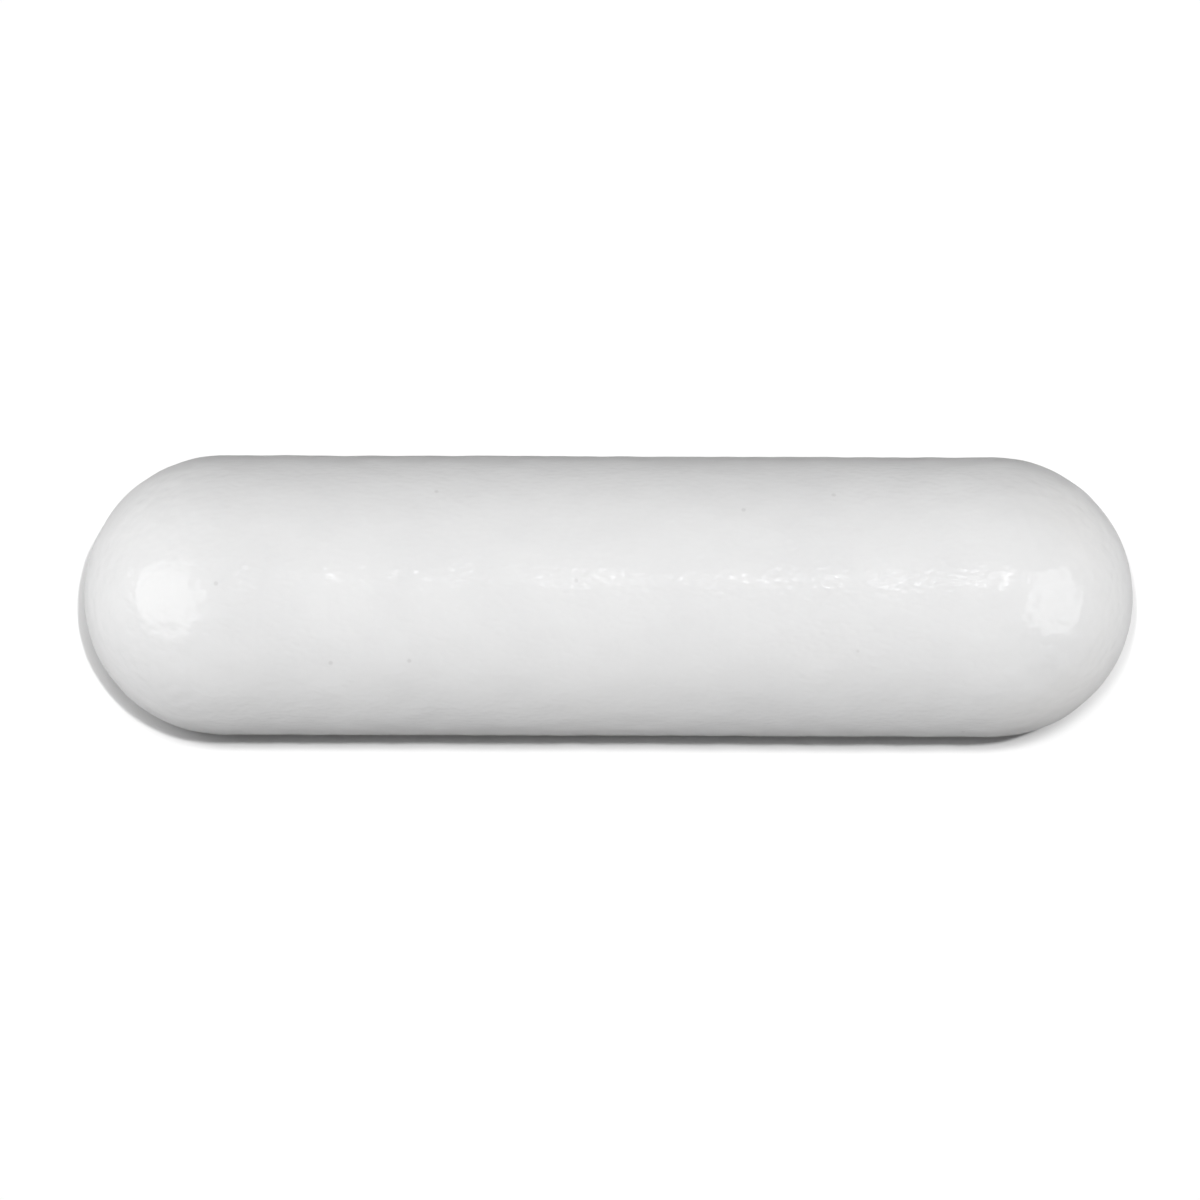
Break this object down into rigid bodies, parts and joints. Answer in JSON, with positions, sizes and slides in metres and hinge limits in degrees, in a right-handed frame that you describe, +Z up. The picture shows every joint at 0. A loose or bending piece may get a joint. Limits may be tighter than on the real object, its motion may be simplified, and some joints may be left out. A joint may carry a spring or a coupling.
{
  "type": "magnetic stir bar",
  "caption": "Smooth white rod with rounded ends and a magnet sealed inside, laid in a vessel of liquid and spun by a magnetic stirrer to mix it.",
  "frame": {"origin": "centre of the bar, on its long axis", "axes": "+X along the bar's length, +Z up from the surface that it lies on, +Y across it"},
  "size_m": [0.03, 0.008, 0.008],
  "materials": {
    "jacket_ptfe": "white sintered PTFE, waxy satin, slightly uneven, with a few tiny dark specks",
    "cast_magnet": "cast AlNiCo, dark grey cast skin on the side and ground ends"
  },
  "bodies": {
    "root": {"ptfe_jacket": "jacket_ptfe", "magnet_core": "cast_magnet"}
  },
  "joints": []
}
